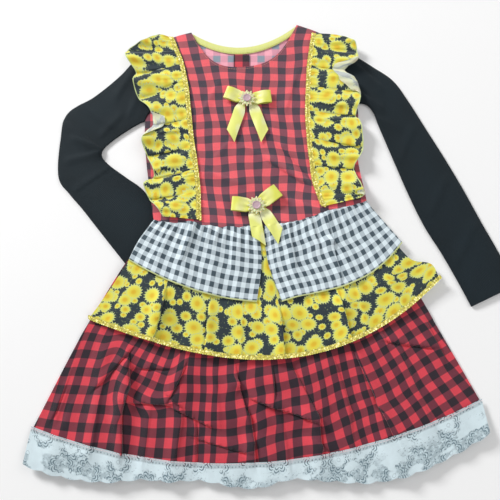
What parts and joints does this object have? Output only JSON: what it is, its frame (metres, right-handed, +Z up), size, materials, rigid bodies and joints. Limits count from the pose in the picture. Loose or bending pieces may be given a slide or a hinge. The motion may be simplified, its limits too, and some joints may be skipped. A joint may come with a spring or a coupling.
{
  "type": "festa junina costume",
  "caption": "Child's long-sleeved festa junina dress laid flat: check bodice and skirt, printed ruffles and tier, gingham peplum, hem lace and satin bows.",
  "frame": {"origin": "centre of the laid-out dress on the surface that it lies on", "axes": "+Z up out of the front, +Y towards the neck, -Y towards the hem, +X across the dress"},
  "size_m": [0.5721, 0.5892, 0.0212],
  "materials": {
    "check": "plain-weave cotton printed in a red and black check",
    "sunflower": "cotton printed with yellow flowers on near-black",
    "gingham": "black and white gingham cotton",
    "jersey": "black-green knitted jersey",
    "lace": "white scalloped lace",
    "binding": "lime-yellow bias binding",
    "sequin": "yellow sequin trim",
    "satin": "lemon satin ribbon",
    "daisy": "cream organza flower",
    "button": "pale mauve plastic button"
  },
  "bodies": {
    "root": {"bodice_front": "check", "bodice_back_left": "check", "bodice_back_right": "check", "back_placket": "check", "neck_binding": "binding", "sleeve_left": "jersey", "sleeve_right": "jersey", "skirt_front": "check", "skirt_back": "check", "tier_front": "sunflower", "tier_back": "sunflower", "peplum_front_left": "gingham", "peplum_front_right": "gingham", "peplum_back": "gingham", "ruffle_left": "sunflower", "ruffle_right": "sunflower", "trim_left": "sequin", "trim_right": "sequin", "trim_tier": "sequin", "lace_front": "lace", "lace_back": "lace", "bow_upper_loops": "satin", "bow_upper_tail_left": "satin", "bow_upper_tail_right": "satin", "bow_upper_daisy": "daisy", "bow_upper_button": "button", "bow_lower_loops": "satin", "bow_lower_tail_left": "satin", "bow_lower_tail_right": "satin", "bow_lower_daisy": "daisy", "bow_lower_button": "button"}
  },
  "joints": []
}
